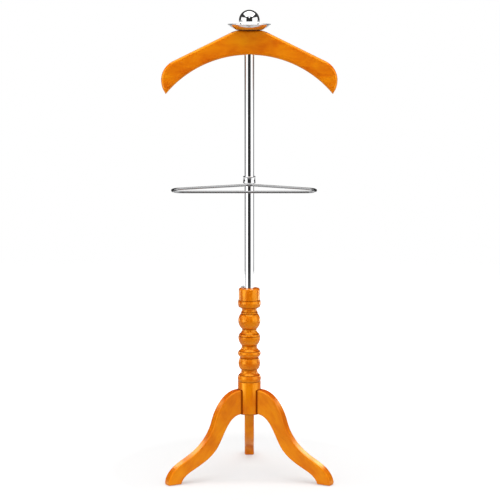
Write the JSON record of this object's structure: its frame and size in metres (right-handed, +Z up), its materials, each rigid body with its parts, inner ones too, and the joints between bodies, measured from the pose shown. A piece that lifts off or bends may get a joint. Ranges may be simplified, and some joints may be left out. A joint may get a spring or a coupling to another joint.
{
  "type": "valet stand",
  "caption": "Free-standing valet stand: turned wood column on cabriole legs, chrome pole, sliding wire trouser bar, arched coat hanger, flared dish and ball finial.",
  "frame": {"origin": "on the floor, under the middle of the overall box; the pole stands 55.7 mm in front of it", "axes": "+Z up, +X to the right seen from the front, +Y to the back, where the third leg points"},
  "size_m": [0.4504, 0.3766, 1.2097],
  "materials": {
    "lacquered_wood": "glossy lacquer",
    "bare_wood": "unfinished",
    "chrome": "polished",
    "zinc_steel": "zinc plated",
    "dark_nylon": "matt",
    "pale_nylon": "satin"
  },
  "bodies": {
    "stand": {"column_top_screw": "zinc_steel", "finial_stud": "zinc_steel", "glide_back": "pale_nylon", "glide_front_left": "pale_nylon", "glide_front_right": "pale_nylon", "leg_back": "lacquered_wood", "leg_bolt_back": "zinc_steel", "leg_bolt_front_left": "zinc_steel", "leg_bolt_front_right": "zinc_steel", "leg_dowel_back": "bare_wood", "leg_dowel_front_left": "bare_wood", "leg_dowel_front_right": "bare_wood", "leg_front_left": "lacquered_wood", "leg_front_right": "lacquered_wood", "leg_nut_back": "zinc_steel", "leg_nut_front_left": "zinc_steel", "leg_nut_front_right": "zinc_steel", "pole": "chrome", "pole_bottom_plug": "zinc_steel", "pole_top_plug": "zinc_steel", "tie_rod": "zinc_steel", "tie_rod_nut": "zinc_steel", "tie_rod_washer": "zinc_steel", "turned_column": "lacquered_wood"},
    "bar_slider": {"collar_liner": "dark_nylon"},
    "bar": {"bar_collar": "chrome", "trouser_bar": "chrome"},
    "bar_lock": {"collar_thumb_screw": "chrome"},
    "hanger": {"coat_hanger": "lacquered_wood", "dish_washer": "dark_nylon", "accessory_dish": "chrome"},
    "finial": {"finial_ball": "chrome"}
  },
  "joints": [
    {"name": "bar_height", "type": "slide", "parent": "stand", "child": "bar_slider", "axis": [0, 0, 1], "range_m": [-0.255, 0.22]},
    {"name": "bar_swivel", "type": "hinge", "parent": "bar_slider", "child": "bar", "pos_m": [0, -0.05571, 0.7758], "axis": [0, 0, 1], "range_deg": [-180, 180]},
    {"name": "bar_lock_turn", "type": "hinge", "parent": "bar", "child": "bar_lock", "pos_m": [0, -0.05571, 0.7758], "axis": [0, 1, 0], "range_deg": [0, 720]},
    {"name": "hanger_swivel", "type": "hinge", "parent": "stand", "child": "hanger", "pos_m": [0, -0.05571, 1.127], "axis": [0, 0, 1], "range_deg": [-180, 180]},
    {"name": "finial_turn", "type": "hinge", "parent": "stand", "child": "finial", "pos_m": [0, -0.05571, 1.1833], "axis": [0, 0, 1], "range_deg": [0, 720]}
  ]
}
